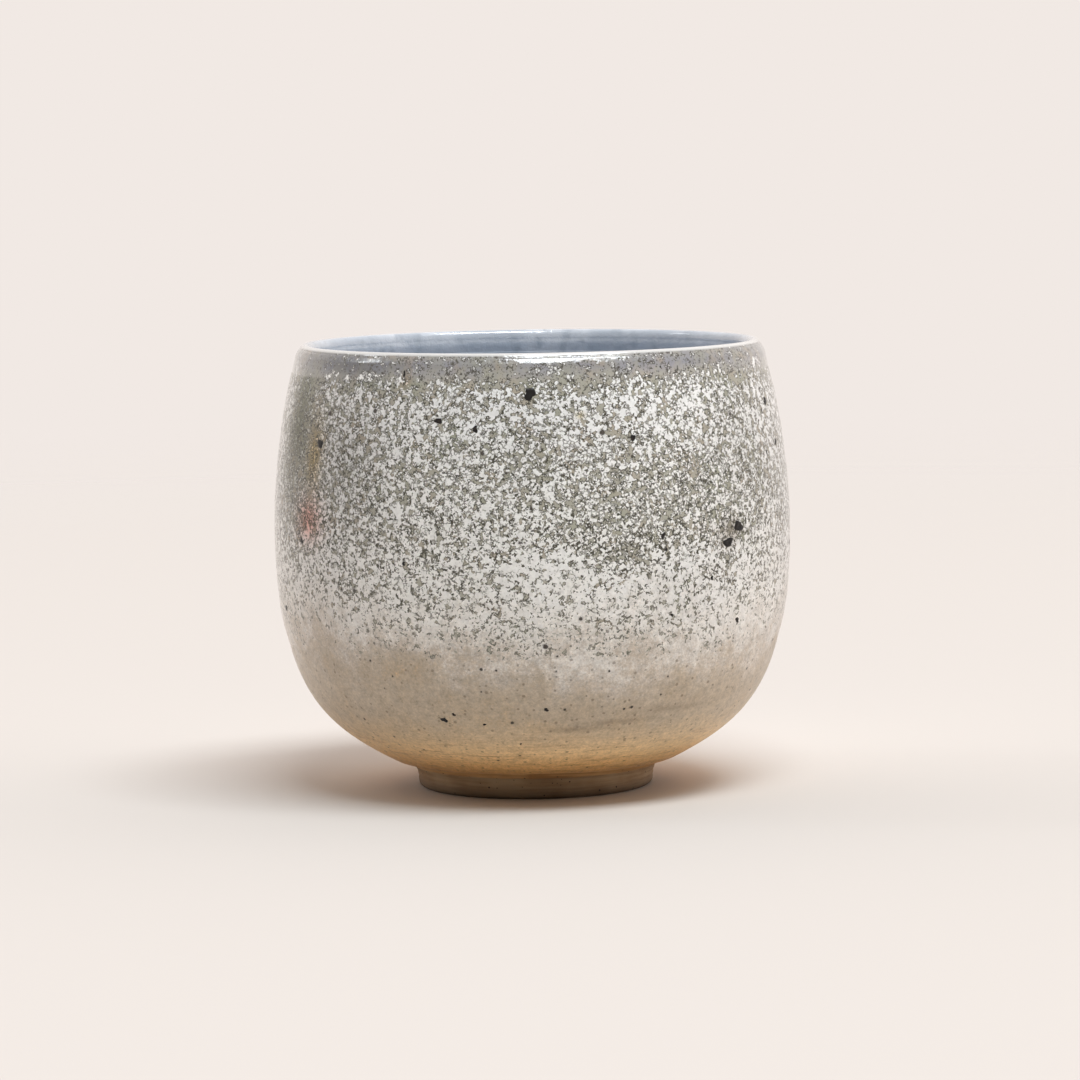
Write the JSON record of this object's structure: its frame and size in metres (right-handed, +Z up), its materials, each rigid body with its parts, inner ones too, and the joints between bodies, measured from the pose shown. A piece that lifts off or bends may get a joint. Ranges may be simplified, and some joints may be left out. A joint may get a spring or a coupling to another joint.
{
  "type": "handleless teacup",
  "caption": "Round-bellied handleless stoneware teacup on a small turned foot ring, with separate glaze coats outside, inside and over the lip; holds a hot drink.",
  "frame": {"origin": "on the table, at the centre of the sole of the foot ring", "axes": "+Z up along the axis that the cup was turned on, towards the mouth; -Y is the side that the picture shows"},
  "size_m": [0.086, 0.086, 0.0743],
  "materials": {
    "toasted_clay": "bare stoneware, toasted amber by the fire, matt",
    "bare_foot": "bare grey-brown stoneware, turned, gritty and matt",
    "amber_glaze": "thin satin glaze, grey-beige above and amber near the foot",
    "mottled_glaze": "satin grey-green glaze broken by matt white crystals",
    "lip_glaze": "glossy clear grey glaze with dark specks",
    "liner_glaze": "glossy blue-grey glaze"
  },
  "bodies": {
    "root": {"stoneware_bowl": "toasted_clay", "foot_ring": "bare_foot", "base_glaze": "amber_glaze", "mottled_glaze": "mottled_glaze", "lip_glaze": "lip_glaze", "liner_glaze": "liner_glaze"}
  },
  "joints": []
}
